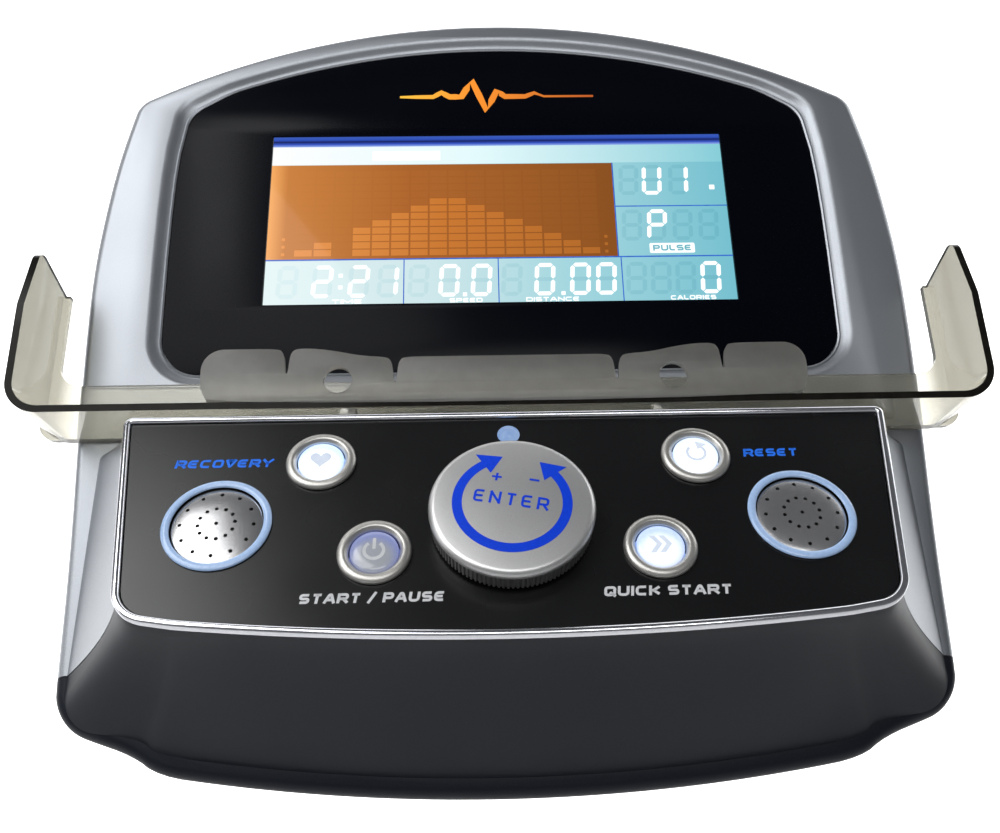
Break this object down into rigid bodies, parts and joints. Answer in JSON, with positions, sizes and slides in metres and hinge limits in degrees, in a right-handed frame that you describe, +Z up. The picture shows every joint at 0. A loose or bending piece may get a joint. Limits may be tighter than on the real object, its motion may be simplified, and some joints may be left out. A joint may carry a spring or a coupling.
{
  "type": "elliptical trainer console",
  "caption": "Tilted fitness console: arched display, sloping control panel with jog dial, lit push buttons and speakers, reading rack across the middle, bolted to a mast by a pad.",
  "frame": {"origin": "centre of the mast pad's seat face on the rear cover", "axes": "+X to the user's right, +Z up, -Y towards the user; the display leans back 40 degrees from upright"},
  "size_m": [0.339, 0.2484, 0.2571],
  "materials": {
    "silver_housing": "satin metallic paint",
    "black_shell": "satin",
    "display_lens": "polished",
    "lens_mask": "gloss",
    "lcd_panel": "satin",
    "backlight": "diffusing",
    "steel_plate": "plated",
    "shaft_steel": "machined",
    "circuit_board": "solder mask",
    "black_parts": "matte",
    "socket_white": "matte",
    "smoke_rack": "translucent",
    "bright_trim": "polished",
    "black_overlay": "gloss",
    "satin_ring": "satin",
    "lit_cap": "frosted, lit from behind",
    "dial_silver": "satin",
    "indicator_blue": "clear tint",
    "speaker_blue": "gloss",
    "grille_metal": "satin, perforated",
    "cone_paper": "matte",
    "insert_brass": "knurled",
    "grommet_rubber": "matte"
  },
  "bodies": {
    "console": {"front_housing": "silver_housing", "lower_shroud": "black_shell", "rear_cover": "black_shell", "display_lens": "display_lens", "lens_mask": "lens_mask", "lcd_glass": "lcd_panel", "lcd_backlight": "backlight", "lcd_frame": "steel_plate", "switch_body_recovery": "steel_plate", "switch_body_reset": "steel_plate", "switch_body_start_pause": "steel_plate", "switch_body_quick_start": "steel_plate", "encoder_body": "steel_plate", "encoder_nut": "steel_plate", "speaker_basket_left": "steel_plate", "speaker_basket_right": "steel_plate", "case_screw_1": "steel_plate", "case_screw_2": "steel_plate", "case_screw_3": "steel_plate", "case_screw_4": "steel_plate", "rack_screw_left": "steel_plate", "rack_screw_right": "steel_plate", "main_board": "circuit_board", "keypad_board": "circuit_board", "main_chip": "black_parts", "buzzer": "black_parts", "keypad_ribbon": "black_parts", "control_deck": "black_parts", "harness_socket": "socket_white", "reading_rack": "smoke_rack", "panel_trim": "bright_trim", "panel_overlay": "black_overlay", "button_bezel_recovery": "satin_ring", "button_bezel_reset": "satin_ring", "button_bezel_start_pause": "satin_ring", "button_bezel_quick_start": "satin_ring", "indicator_lens": "indicator_blue", "speaker_ring_left": "speaker_blue", "speaker_ring_right": "speaker_blue", "speaker_grille_left": "grille_metal", "speaker_grille_right": "grille_metal", "mast_insert_1": "insert_brass", "mast_insert_2": "insert_brass", "mast_insert_3": "insert_brass", "mast_insert_4": "insert_brass", "cable_grommet": "grommet_rubber"},
    "dial_press": {"encoder_plunger": "black_parts"},
    "dial": {"dial_cap": "dial_silver", "dial_grip": "dial_silver", "encoder_shaft": "shaft_steel"},
    "speaker_cone_left": {"speaker_cone_left": "cone_paper"},
    "speaker_cone_right": {"speaker_cone_right": "cone_paper"},
    "button_recovery": {"button_cap_recovery": "lit_cap", "switch_stem_recovery": "black_parts"},
    "button_reset": {"button_cap_reset": "lit_cap", "switch_stem_reset": "black_parts"},
    "button_start_pause": {"button_cap_start_pause": "lit_cap", "switch_stem_start_pause": "black_parts"},
    "button_quick_start": {"button_cap_quick_start": "lit_cap", "switch_stem_quick_start": "black_parts"}
  },
  "joints": [
    {"name": "press_recovery", "type": "slide", "parent": "console", "child": "button_recovery", "axis": [0, 0.4879, -0.8729], "range_m": [0, 0.0006], "stiffness_N_per_m": 3000, "springref_m": -0.0003},
    {"name": "press_reset", "type": "slide", "parent": "console", "child": "button_reset", "axis": [0, 0.4879, -0.8729], "range_m": [0, 0.0006], "stiffness_N_per_m": 3000, "springref_m": -0.0003},
    {"name": "press_start_pause", "type": "slide", "parent": "console", "child": "button_start_pause", "axis": [0, 0.4879, -0.8729], "range_m": [0, 0.0006], "stiffness_N_per_m": 3000, "springref_m": -0.0003},
    {"name": "press_quick_start", "type": "slide", "parent": "console", "child": "button_quick_start", "axis": [0, 0.4879, -0.8729], "range_m": [0, 0.0006], "stiffness_N_per_m": 3000, "springref_m": -0.0003},
    {"name": "press_dial", "type": "slide", "parent": "console", "child": "dial_press", "axis": [0, 0.4879, -0.8729], "range_m": [0, 0.0006], "stiffness_N_per_m": 5000, "springref_m": -0.0004},
    {"name": "turn_dial", "type": "hinge", "parent": "dial_press", "child": "dial", "pos_m": [0, -0.11027, 0.05154], "axis": [0, -0.4879, 0.8729], "continuous": true},
    {"name": "cone_travel_left", "type": "slide", "parent": "console", "child": "speaker_cone_left", "axis": [0, -0.4879, 0.8729], "range_m": [-0.0005, 0.0005], "stiffness_N_per_m": 1000},
    {"name": "cone_travel_right", "type": "slide", "parent": "console", "child": "speaker_cone_right", "axis": [0, -0.4879, 0.8729], "range_m": [-0.0005, 0.0005], "stiffness_N_per_m": 1000}
  ]
}
